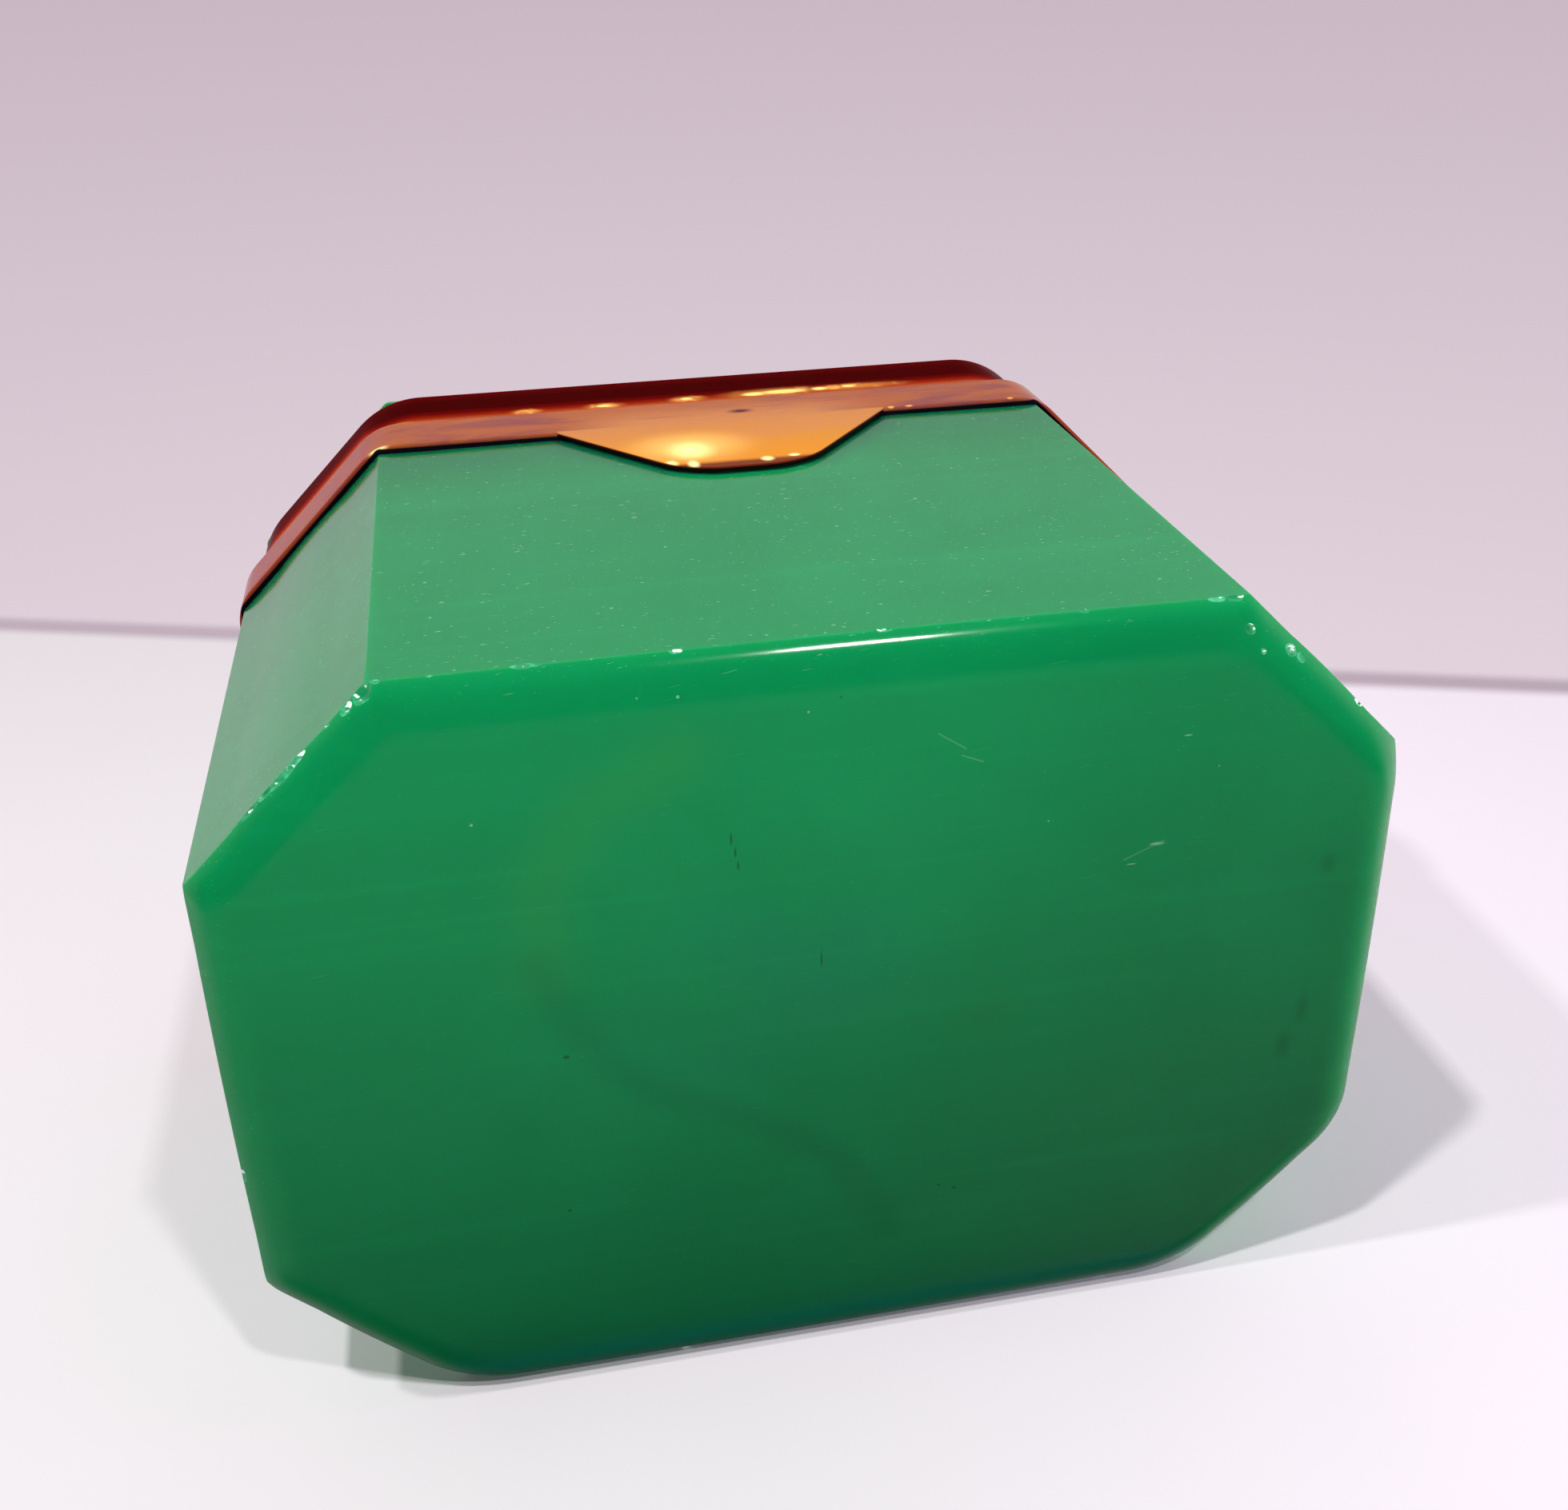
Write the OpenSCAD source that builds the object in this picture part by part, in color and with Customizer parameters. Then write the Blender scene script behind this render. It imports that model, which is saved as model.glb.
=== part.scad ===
// Powder jar: an eight-sided cast jar with a stepped lid that lifts straight off.
// Millimetres. The origin is the centre of the flat underside, +Z is up and the thumb tab faces -Y.

/* [Jar body] */
// Width between the two end walls
body_w = 102; // [90:1:120]
// Depth between the front and back walls
body_d = 73; // [65:1:90]
// Length that each corner cut takes off the wall beside it
corner_cut = 15.8; // [13:0.1:20]
// Height of the shoulder that the lid rests on
shoulder_z = 56.5; // [45:0.5:70]
// Thickness of the walls below the shoulder
wall_t = 5; // [4.5:0.1:6]
// Thickness of the floor
floor_t = 5; // [4:0.1:8]
// Radius of the upright corners inside the jar
inner_corner_r = 6; // [3:0.5:9]

/* [Cushioned underside] */
// Width of the rounded band between the flat underside and the crisp lower edge
cushion_w = 4.9; // [3:0.1:6]
// Height of the crisp lower edge above the surface that the jar stands on
cushion_h = 1.8; // [1:0.1:3]
// Corner radius of the flat underside
flat_corner_r = 8; // [4:0.5:12]

/* [Neck] */
// Distance from the outside of the wall in to the outside of the neck
neck_inset = 3.2; // [2.8:0.1:3.4]
// Height of the neck above the shoulder
neck_h = 5.5; // [4:0.5:6.5]
// Play all round between the neck and the rim of the lid
neck_play = 0.35; // [0.2:0.05:0.6]

/* [Lid] */
// Distance that the rim stands out beyond the walls of the jar
rim_proud = 0.8; // [0.6:0.1:1.2]
// Height of the rim
rim_h = 8; // [7:0.5:12]
// Corner radius of the rim
rim_corner_r = 6; // [3:0.5:9]
// Width of the step from the rim in to the crown
crown_step = 0.9; // [0.3:0.1:1.5]
// Height of the crown
crown_h = 12.5; // [8:0.5:14]
// Corner radius of the crown
crown_corner_r = 10; // [4:0.5:11]
// Thickness of the crown's walls
crown_wall_t = 3.5; // [2.5:0.1:5]
// Thickness of the crown's roof
crown_roof_t = 3; // [2:0.1:4]
// Thickness of the panel laminated on the crown
panel_t = 1.5; // [1:0.1:2.5]
// Distance that the panel is set in from the crown's walls
panel_inset = 0.6; // [0.2:0.1:2]
// Corner radius of the panel
panel_corner_r = 1; // [0.5:0.5:8]

/* [Thumb tab] */
// Width of the tab where it meets the rim
tab_w = 35; // [28:0.5:42]
// Width of the tab at its tip, measured before its corners are rounded
tab_tip_w = 11.8; // [8:0.1:16]
// Distance that the tab hangs below the rim
tab_drop = 14.9; // [10:0.1:20]
// Radius of the two corners at the tip of the tab
tab_corner_r = 8; // [4:0.5:10]
// Distance of the tab's middle from the middle of the front
tab_x = 0.6; // [-3:0.1:3]
// Gap between the tab and the front wall of the jar
tab_gap = 0.25; // [0.2:0.05:0.4]

/* [Hidden] */

// Straight pieces that stand for each rounded corner of an outline
arc_steps = 6;
// Rings between the flat underside and the crisp lower edge
cushion_rings = 6;
// Vertical gap that keeps the resting lid off the shoulder
seat_gap = 0.1;
// Extra length that carries a cut through the face it leaves
overcut = 1;
// Half the angle that an octagon's outline turns through at a corner
half_turn = 22.5;

neck_top_z = shoulder_z + neck_h;
rim_z = shoulder_z + seat_gap;
crown_z = rim_z + rim_h;
panel_z = crown_z + crown_h;

// Insets of each outline from the outside of the jar's walls; a negative one stands proud
rim_inset = -rim_proud;
rim_bore_inset = neck_inset - neck_play;
crown_inset = rim_inset + crown_step;
crown_bore_inset = crown_inset + crown_wall_t;

jade = [0.16, 0.6, 0.35];
amber = [0.62, 0.16, 0.07];
thin_amber = [0.85, 0.48, 0.14];

function unit(v) = v / norm(v);

// The eight sharp corners of the jar's outline moved in by an inset, counter-clockwise
function octagon(inset) =
    let (x = body_w / 2 - inset, y = body_d / 2 - inset, cut = corner_cut - inset * (2 - sqrt(2)))
    [[x, cut - y], [x, y - cut], [x - cut, y], [cut - x, y],
     [-x, y - cut], [-x, cut - y], [cut - x, -y], [x - cut, -y]];

// One rounded corner between the corners before and after it. A blend of 1 gives the arc and a blend of 0
// leaves the same points along the two straight sides, so that the corner itself stays sharp.
function corner_arc(before, corner, after, r, blend) =
    let (to_before = unit(before - corner), to_after = unit(after - corner),
         inward = unit(to_before + to_after),
         centre = corner + inward * r / cos(half_turn),
         reach = r * tan(half_turn))
    [for (i = [0 : arc_steps])
        let (u = 2 * i / arc_steps - 1, turn = u * half_turn,
             on_side = corner + (u < 0 ? to_before : to_after) * abs(u) * reach,
             on_arc = centre - r * [inward.x * cos(turn) - inward.y * sin(turn),
                                    inward.x * sin(turn) + inward.y * cos(turn)])
        on_side * (1 - blend) + on_arc * blend];

// The jar's outline moved in by an inset, with every corner rounded to radius r
function outline(inset, r, blend = 1) =
    let (corners = octagon(inset), n = len(corners))
    [for (i = [0 : n - 1])
        each corner_arc(corners[(i + n - 1) % n], corners[i], corners[(i + 1) % n], r, blend)];

// A closed solid through stacked rings of points that all run counter-clockwise
module loft(rings) {
    n = len(rings[0]);
    last = len(rings) - 1;
    sides = [for (k = [0 : last - 1], i = [0 : n - 1])
        let (j = (i + 1) % n)
        each [[k * n + i, (k + 1) * n + i, (k + 1) * n + j], [k * n + i, (k + 1) * n + j, k * n + j]]];
    polyhedron([for (ring = rings) each ring],
        concat(sides, [[for (i = [0 : n - 1]) i]], [[for (i = [n - 1 : -1 : 0]) last * n + i]]));
}

// The children's outline as an upright solid between two heights
module extrude_between(low, high) {
    translate([0, 0, low]) linear_extrude(high - low) children();
}

// The underside: a flat patch with rounded corners, and a round band rising to the sharp lower edge
module cushion() {
    band_r = (cushion_w ^ 2 + cushion_h ^ 2) / (2 * cushion_h);
    band_angle = asin(cushion_w / band_r);
    loft([for (k = [0 : cushion_rings])
        let (a = band_angle * k / cushion_rings,
             inset = cushion_w - band_r * sin(a),
             z = band_r * (1 - cos(a)))
        [for (p = outline(inset, flat_corner_r, 1 - k / cushion_rings)) [p.x, p.y, z]]]);
}

module jar_body() {
    color(jade) difference() {
        union() {
            cushion();
            extrude_between(cushion_h, shoulder_z) polygon(octagon(0));
            extrude_between(shoulder_z - overcut, neck_top_z)
                polygon(outline(neck_inset, inner_corner_r));
        }
        extrude_between(floor_t, neck_top_z + overcut) polygon(outline(wall_t, inner_corner_r));
    }
}

module lid_rim() {
    color(amber) extrude_between(rim_z, crown_z) difference() {
        polygon(outline(rim_inset, rim_corner_r));
        polygon(outline(rim_bore_inset, inner_corner_r));
    }
}

// Half of the tab's outline: the rounded corner at the tip, then the end that meets the rim
function tab_side() =
    let (rim_end = [tab_w / 2, 0], tip = [tab_tip_w / 2, -tab_drop],
         flank = unit(rim_end - tip),
         turn = acos(flank.x),
         reach = tab_corner_r * tan(turn / 2),
         centre = [tip.x - reach, tip.y + tab_corner_r])
    concat([for (i = [0 : arc_steps])
        let (a = turn * i / arc_steps) centre + tab_corner_r * [sin(a), -cos(a)]], [rim_end]);

module thumb_tab() {
    side = tab_side();
    mirrored = [for (i = [len(side) - 1 : -1 : 0]) [-side[i].x, side[i].y]];
    color(thin_amber) translate([tab_x, -body_d / 2 - tab_gap, rim_z]) rotate([90, 0, 0])
        linear_extrude(rim_proud - tab_gap) polygon(concat(side, mirrored));
}

module lid_crown() {
    color(amber) difference() {
        extrude_between(crown_z, panel_z) polygon(outline(crown_inset, crown_corner_r));
        extrude_between(crown_z - overcut, panel_z - crown_roof_t)
            polygon(outline(crown_bore_inset, inner_corner_r));
    }
}

module lid_panel() {
    color(jade) extrude_between(panel_z, panel_z + panel_t)
        polygon(outline(crown_inset + panel_inset, panel_corner_r));
}

jar_body();
lid_rim();
thumb_tab();
lid_crown();
lid_panel();
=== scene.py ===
"""The powder jar's looks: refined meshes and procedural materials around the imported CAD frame."""

import math
import random

import bmesh
import bpy
from mathutils import Matrix, Vector, noise


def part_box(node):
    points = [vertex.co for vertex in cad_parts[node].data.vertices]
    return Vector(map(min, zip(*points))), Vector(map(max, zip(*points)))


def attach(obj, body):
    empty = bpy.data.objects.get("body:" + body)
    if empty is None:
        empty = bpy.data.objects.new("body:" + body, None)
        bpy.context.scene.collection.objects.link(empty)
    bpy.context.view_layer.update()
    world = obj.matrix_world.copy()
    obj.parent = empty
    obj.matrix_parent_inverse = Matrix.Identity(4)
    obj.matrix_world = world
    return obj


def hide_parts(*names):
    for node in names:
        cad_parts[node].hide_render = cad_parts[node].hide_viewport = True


MM = 0.001
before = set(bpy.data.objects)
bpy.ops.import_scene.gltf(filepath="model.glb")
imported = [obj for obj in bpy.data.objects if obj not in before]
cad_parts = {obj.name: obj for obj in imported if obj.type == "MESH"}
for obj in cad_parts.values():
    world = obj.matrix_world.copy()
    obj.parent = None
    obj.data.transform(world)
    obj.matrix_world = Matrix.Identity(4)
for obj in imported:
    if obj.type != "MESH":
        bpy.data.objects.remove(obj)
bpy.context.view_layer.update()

# ---------------------------------------------------------------- sizes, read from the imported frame
body_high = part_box("jar_body")[1]
rim_low, rim_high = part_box("lid_rim")
crown_low, crown_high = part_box("lid_crown")
panel_low, panel_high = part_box("lid_panel")
tab_low, tab_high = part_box("thumb_tab")

HALF_W, HALF_D = body_high.x, body_high.y
CORNER_CUT = HALF_W + HALF_D - max(
    abs(v.co.x) + abs(v.co.y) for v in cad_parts["jar_body"].data.vertices)
RIM_INSET = HALF_W - rim_high.x
CROWN_INSET = HALF_W - crown_high.x
PANEL_INSET = HALF_W - panel_high.x
SEAT_GAP = 0.1 * MM
SHOULDER_Z = rim_low.z - SEAT_GAP
TAB_MID, TAB_HALF = (tab_low.x + tab_high.x) / 2, (tab_high.x - tab_low.x) / 2

# The same driving sizes as in the CAD source
WALL, FLOOR = 5 * MM, 5 * MM
NECK_INSET = 3.2 * MM
RIM_BORE_INSET = NECK_INSET - 0.35 * MM
CROWN_BORE_INSET = CROWN_INSET + 3.5 * MM
CROWN_ROOF = 3 * MM
CUSHION_W, CUSHION_H = 4.9 * MM, 1.8 * MM
FLAT_CORNER, INNER_CORNER, RIM_CORNER, CROWN_CORNER = 8 * MM, 6 * MM, 6 * MM, 10 * MM
TAB_TIP_W, TAB_TIP_R = 11.8 * MM, 8 * MM

# Sizes of the visual model alone
HALF_TURN = math.radians(22.5)
SHARP = 0.12 * MM  # the radius of an arris that looks crisp
CAP_REACH = 6 * MM  # how far a flat face's outer ring lies inside its edge
RIM_ROUNDING = 0.4 * MM
TAB_BEVEL = 0.2 * MM
TAB_ARC_STEPS = 16
# The panel's corner radii. The last, between the front and its right chamfer, is as round as the crown's
PANEL_CORNERS = [1 * MM] * 7 + [CROWN_CORNER]
WALL_BOW = 0.12 * MM  # how far the middle of a polished wall stands out
# The cushion's height rises by this power of the distance outwards, to the crisp lower edge
CUSHION_POWER = 3.4
# The cushion's corner radii at the lower edge, in the order of the octagon's corners: the front left one
# comes to a point, and those at the right and the back run out soft
CUSHION_CORNERS = [r * MM for r in (11, 9, 12.9, 12.9, 4, 3, 0.5, 3)]
# Distances from a corner at which an outline has points, close together where a crisp arris turns
CORNER_STEPS = [s * MM for s in (0, 0.03, 0.06, 0.3, 0.7, 1.2, 1.8, 2.4, 3.1, 3.8, 4.6, 5.4)]
SIDE_STEPS = 9


# ---------------------------------------------------------------- lofted meshes
def octagon(inset):
    """The eight sharp corners of the jar's outline moved in by inset, counter-clockwise."""
    x, y = HALF_W - inset, HALF_D - inset
    cut = CORNER_CUT - inset * (2 - math.sqrt(2))
    return [Vector(p) for p in (
        (x, cut - y), (x, y - cut), (x - cut, y), (cut - x, y),
        (-x, y - cut), (-x, cut - y), (cut - x, -y), (x - cut, -y))]


def corner_point(corner, side, inward, distance, radius, sense):
    """The outline's point this far from a corner along one side, or on the corner's arc if that is nearer."""
    reach = radius * math.tan(HALF_TURN)
    if distance >= reach:
        return corner + side * distance
    turn = sense * HALF_TURN * distance / reach
    centre = corner + inward * radius / math.cos(HALF_TURN)
    return centre - radius * Vector((
        inward.x * math.cos(turn) - inward.y * math.sin(turn),
        inward.x * math.sin(turn) + inward.y * math.cos(turn)))


def outline(inset, radius, z, bow=0.0):
    """A closed ring of points: the jar's outline moved in by inset, its corners rounded, its sides bowed out.

    radius is one number or one per corner, and z is a number or a function of the point."""
    corners, ring = octagon(inset), []
    for i, corner in enumerate(corners):
        rounding = radius[i] if isinstance(radius, list) else radius
        back = (corners[i - 1] - corner).normalized()
        ahead = (corners[(i + 1) % 8] - corner).normalized()
        inward = (back + ahead).normalized()
        outward = Vector((ahead.y, -ahead.x))
        for s in reversed(CORNER_STEPS[1:]):
            ring.append((corner_point(corner, back, inward, s, rounding, -1), None, 0))
        for s in CORNER_STEPS:
            ring.append((corner_point(corner, ahead, inward, s, rounding, 1), None, 0))
        start = corner + ahead * CORNER_STEPS[-1]
        end = corners[(i + 1) % 8] - ahead * CORNER_STEPS[-1]
        for k in range(1, SIDE_STEPS):
            t = k / SIDE_STEPS
            ring.append((start.lerp(end, t), outward, bow * 4 * t * (1 - t)))
    points = []
    for p, outward, push in ring:
        height = z(p) if callable(z) else z
        if push:
            p = p + outward * push
        points.append((p.x, p.y, height))
    return points


def rounded_profile(stops, steps=5):
    """A profile through stops of (inset, z, corner radius, edge radius), with the bends between rounded."""
    out = []
    for i, (inset, z, corner_r, edge_r) in enumerate(stops):
        here = Vector((inset, z))
        if edge_r == 0 or i in (0, len(stops) - 1):
            out.append((inset, z, corner_r))
            continue
        before, after = Vector(stops[i - 1][:2]) - here, Vector(stops[i + 1][:2]) - here
        half = before.angle(after) / 2
        reach = edge_r / math.tan(half)
        centre = here + (before.normalized() + after.normalized()).normalized() * edge_r / math.sin(half)
        a, b = here + before.normalized() * reach - centre, here + after.normalized() * reach - centre
        turn = a.angle(b)
        for k in range(steps + 1):
            t = k / steps
            p = centre + (a * math.sin((1 - t) * turn) + b * math.sin(t * turn)) / math.sin(turn)
            out.append((p.x, p.y, corner_r))
    return out


def loft(name, profile, closed=False, bow=0.0):
    """A closed mesh swept round the jar's outline. An open profile is capped at its two ends."""
    rings = [outline(inset, radius, z, bow) for inset, z, radius in profile]
    n = len(rings[0])
    faces = []
    for k in range(len(rings) if closed else len(rings) - 1):
        low, high = k * n, (k + 1) % len(rings) * n
        for i in range(n):
            j = (i + 1) % n
            faces.append((low + i, low + j, high + j, high + i))
    if not closed:
        faces.append(tuple(reversed(range(n))))
        faces.append(tuple(range((len(rings) - 1) * n, len(rings) * n)))
    mesh = bpy.data.meshes.new(name)
    mesh.from_pydata([p for ring in rings for p in ring], [], faces)
    return finished(name, mesh)


def finished(name, mesh):
    """An object for a mesh, its faces turned outwards and smooth."""
    bm = bmesh.new()
    bm.from_mesh(mesh)
    bmesh.ops.recalc_face_normals(bm, faces=bm.faces)
    for face in bm.faces:
        face.smooth = True
    bm.to_mesh(mesh)
    bm.free()
    obj = bpy.data.objects.new(name, mesh)
    bpy.context.scene.collection.objects.link(obj)
    return obj


def crisp(obj, angle=32):
    """Keeps flat faces flat up to their rounded edges, and splits the shading where the surface breaks."""
    obj.data.set_sharp_from_angle(angle=math.radians(angle))
    weighted = obj.modifiers.new("flat_faces", "WEIGHTED_NORMAL")
    weighted.keep_sharp = True
    weighted.weight = 90


# ---------------------------------------------------------------- the jar
def cushion_radii(inset):
    """The cushion's corner radii where it is inset from the lower edge by this much."""
    share = inset / CUSHION_W
    return [edge + (FLAT_CORNER - edge) * share for edge in CUSHION_CORNERS]


def cushion_inset(p):
    """How far inside the cushion's rounded lower outline a point lies. It is negative outside."""
    corners = octagon(0)
    nearest = min(range(8), key=lambda i: (corners[i] - p).length)
    corner = corners[nearest]
    back = (corners[nearest - 1] - corner).normalized()
    ahead = (corners[(nearest + 1) % 8] - corner).normalized()
    inward = (back + ahead).normalized()
    q = p - corner
    from_sides = min(abs(ahead.cross(q)), abs(back.cross(q)))
    low, high = -2 * MM, 8 * MM
    for _ in range(40):
        inset = (low + high) / 2
        radius = cushion_radii(inset)[nearest]
        centre = inward * (inset + radius) / math.cos(HALF_TURN)
        if (q - centre).length > radius:
            high = inset
        else:
            low = inset
    radius = cushion_radii(low)[nearest]
    from_centre = q - inward * (low + radius) / math.cos(HALF_TURN)
    if from_centre.length > 0 and from_centre.angle(-inward) < HALF_TURN:
        return low
    return from_sides


def cushion_height(p):
    """The underside's height: flat, then a cushioned band that steepens to the crisp lower edge."""
    inset = cushion_inset(p)
    if inset >= CUSHION_W:
        return 0.0
    if inset < 0:
        return CUSHION_H - inset * CUSHION_H * CUSHION_POWER / CUSHION_W
    return CUSHION_H * (1 - inset / CUSHION_W) ** CUSHION_POWER


def cushion_profile():
    """Rings from the flat underside over the cushioned band to the crisp lower edge and just round it."""
    rings = []
    for inset in (6, 4.9, 4.4, 3.9, 3.4, 2.9, 2.4, 1.9, 1.5, 1.15, 0.85, 0.6, 0.4, 0.22, 0.09, 0.03):
        inset *= MM
        full = cushion_radii(inset)
        fade = min(1.0, inset / (1.2 * MM)) ** 0.7
        rings.append((inset, cushion_height, [SHARP + (r - SHARP) * fade for r in full]))
    rings.append((0.0, lambda p: cushion_height(p) + 0.06 * MM, SHARP))
    return rings


def make_jar():
    neck_top = body_high.z
    neck_half = (WALL - NECK_INSET) / 2
    walls = rounded_profile([
        (0, CUSHION_H + 3 * MM, SHARP, 0),
        (0, SHOULDER_Z, SHARP, 0.2 * MM),
        (NECK_INSET, SHOULDER_Z, INNER_CORNER, 0.4 * MM),
        (NECK_INSET, neck_top, INNER_CORNER, neck_half * 0.98),
        (WALL, neck_top, INNER_CORNER, neck_half * 0.98),
        (WALL, FLOOR, INNER_CORNER, 3 * MM),
        (WALL + CAP_REACH, FLOOR, INNER_CORNER, 0),
    ])
    return loft("jar_body_cast", cushion_profile() + walls, bow=WALL_BOW)


def make_rim():
    profile = rounded_profile([
        (RIM_INSET + 1.5 * MM, rim_low.z, RIM_CORNER, 0),
        (RIM_INSET, rim_low.z, RIM_CORNER, RIM_ROUNDING),
        (RIM_INSET, rim_high.z, RIM_CORNER, 0.6 * MM),
        (RIM_BORE_INSET, rim_high.z, INNER_CORNER, 0.2 * MM),
        (RIM_BORE_INSET, rim_low.z, INNER_CORNER, 0.2 * MM),
        (RIM_BORE_INSET - 0.5 * MM, rim_low.z, INNER_CORNER, 0),
    ])
    return loft("lid_rim_amber", profile, closed=True)


def make_crown():
    profile = rounded_profile([
        (CROWN_INSET + CAP_REACH, crown_high.z, CROWN_CORNER, 0),
        (CROWN_INSET, crown_high.z, CROWN_CORNER, 0.5 * MM),
        (CROWN_INSET, crown_low.z, CROWN_CORNER, 0.4 * MM),
        (CROWN_BORE_INSET, crown_low.z, INNER_CORNER, 0.3 * MM),
        (CROWN_BORE_INSET, crown_high.z - CROWN_ROOF, INNER_CORNER, 2 * MM),
        (CROWN_BORE_INSET + CAP_REACH, crown_high.z - CROWN_ROOF, INNER_CORNER, 0),
    ])
    return loft("lid_crown_amber", profile)


def make_panel():
    profile = rounded_profile([
        (PANEL_INSET + CAP_REACH, panel_low.z, PANEL_CORNERS, 0),
        (PANEL_INSET, panel_low.z, PANEL_CORNERS, 0.15 * MM),
        (PANEL_INSET, panel_high.z, PANEL_CORNERS, 0.9 * MM),
        (PANEL_INSET + CAP_REACH, panel_high.z, PANEL_CORNERS, 0),
    ])
    return loft("lid_panel_jade", profile)


def make_tab():
    """The thumb tab: a thin plate with two rounded corners at its tip and polished edges.

    It is drawn flat, from the rim's lower edge down, and reaches up behind the rounding of that edge."""
    rim_end, tip = Vector((TAB_HALF, 0)), Vector((TAB_TIP_W / 2, tab_low.z - tab_high.z))
    flank = (rim_end - tip).normalized()
    turn = math.acos(flank.x)
    centre = Vector((tip.x - TAB_TIP_R * math.tan(turn / 2), tip.y + TAB_TIP_R))
    arc = [centre + TAB_TIP_R * Vector((math.sin(a), -math.cos(a)))
           for a in (turn * k / TAB_ARC_STEPS for k in range(TAB_ARC_STEPS + 1))]
    side = arc + [rim_end, rim_end + Vector((0, RIM_ROUNDING))]
    points = side + [Vector((-p.x, p.y)) for p in reversed(side)]
    bm = bmesh.new()
    front, back = ([bm.verts.new((TAB_MID + p.x, y, tab_high.z + p.y)) for p in points]
                   for y in (tab_low.y, tab_high.y))
    bm.faces.new(front)
    bm.faces.new(tuple(reversed(back)))
    for i in range(len(points)):
        j = (i + 1) % len(points)
        bm.faces.new((front[j], front[i], back[i], back[j]))
    edges = [e for e in bm.edges if abs(e.verts[0].co.y - e.verts[1].co.y) < 1e-6
             and min(v.co.z for v in e.verts) < tab_high.z - 1e-5]
    bmesh.ops.bevel(bm, geom=edges, offset=TAB_BEVEL, segments=4, profile=0.5, affect="EDGES")
    mesh = bpy.data.meshes.new("thumb_tab_amber")
    bm.to_mesh(mesh)
    bm.free()
    return finished("thumb_tab_amber", mesh)


# ---------------------------------------------------------------- chips along the jar's lower edge
# Each is (x, y) on the underside's edge in mm, the bite's radius and depth in mm, how much longer it is
# along the edge than across, and how far down it faces, from 0 for the wall to 1 for the underside
CHIPS = (
    (-35.6, -35.9, 1.0, 0.26, 1.5, 0.7), (-34.5, -36.5, 0.5, 0.12, 1.2, 0.4),
    (-36.9, -34.7, 0.6, 0.12, 1.8, 0.7), (-30.6, -36.5, 0.5, 0.07, 1.6, 0.2),
    (-23.7, -36.5, 1.3, 0.08, 1.4, 0.1), (-22.6, -36.5, 0.6, 0.06, 1.4, 0.3),
    (32.2, -36.5, 0.7, 0.08, 3.0, 0.5), (33.9, -36.5, 0.55, 0.16, 2.0, 0.6),
    (34.8, -34.2, 0.6, 0.20, 1.2, 1.0), (36.1, -32.1, 0.35, 0.09, 1.2, 1.0),
    (39.0, -31.7, 0.7, 0.18, 1.3, 0.9), (40.0, -30.8, 0.5, 0.12, 1.4, 0.9),
    (-41.0, -30.7, 0.4, 0.06, 3.4, 0.6), (-42.2, -29.5, 0.55, 0.10, 4.0, 0.65),
    (-43.6, -28.1, 0.3, 0.06, 3.4, 0.6), (-45.1, -26.6, 0.3, 0.045, 4.0, 0.6),
    (-38.4, -33.3, 0.25, 0.04, 2.0, 0.6), (-12.0, -36.5, 0.35, 0.06, 2.0, 0.4),
    (4.5, -36.5, 0.3, 0.06, 2.5, 0.3), (21.0, -36.5, 0.35, 0.05, 2.0, 0.4),
    (46.2, -25.5, 0.4, 0.08, 2.0, 0.6), (50.9, 3.0, 0.5, 0.10, 2.0, 0.5),
    (-50.9, 8.0, 0.45, 0.10, 2.0, 0.5), (-14.0, 36.4, 0.5, 0.10, 2.2, 0.5),
    (27.0, 36.4, 0.4, 0.09, 2.0, 0.5),
)


def chip_cutter(rng, x, y, size, depth, stretch, down):
    """An uneven pebble that bites a shell-shaped chip out of the lower edge."""
    corners = octagon(0)
    place = Vector((x, y)) * MM
    sides = [(a, (corners[(i + 1) % 8] - a).normalized()) for i, a in enumerate(corners)]
    start, along = min(sides, key=lambda side: abs(side[1].cross(place - side[0])))
    outward = Vector((along.y, -along.x))
    edge_z = cushion_height(place)
    facing = Vector((outward.x * (1 - down), outward.y * (1 - down), -down)).normalized()
    centre = Vector((place.x, place.y, edge_z)) + facing * (size - depth) * MM
    bm = bmesh.new()
    bmesh.ops.create_icosphere(bm, subdivisions=4, radius=1)
    seed = Vector((rng.random(), rng.random(), rng.random())) * 9
    forward = Vector((along.x, along.y, 0))
    sideways = facing.cross(forward).normalized()
    for vert in bm.verts:
        lump = 1 + 0.10 * noise.noise(vert.co * 1.6 + seed) + 0.012 * noise.noise(vert.co * 5 + seed)
        p = vert.co * lump * size * MM
        vert.co = centre + forward * p.x * stretch + sideways * p.y + facing * p.z
    for face in bm.faces:
        face.material_index = 1
    mesh = bpy.data.meshes.new("cutter")
    bm.to_mesh(mesh)
    bm.free()
    return bpy.data.objects.new("cutter", mesh)


def cut_chips(jar):
    """Bites all the chips out of the jar, with their own material inside."""
    rng = random.Random(7)
    scene = bpy.context.scene.collection
    for chip in CHIPS:
        cutter = chip_cutter(rng, *chip)
        for material in jar.data.materials:
            cutter.data.materials.append(material)
        scene.objects.link(cutter)
        bite = jar.modifiers.new("bite", "BOOLEAN")
        bite.operation, bite.solver, bite.object = "DIFFERENCE", "EXACT", cutter
        cut = bpy.data.meshes.new_from_object(jar.evaluated_get(bpy.context.evaluated_depsgraph_get()))
        jar.modifiers.clear()
        old, jar.data = jar.data, cut
        bpy.data.meshes.remove(old)
        pebble = cutter.data
        bpy.data.objects.remove(cutter)
        bpy.data.meshes.remove(pebble)


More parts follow.
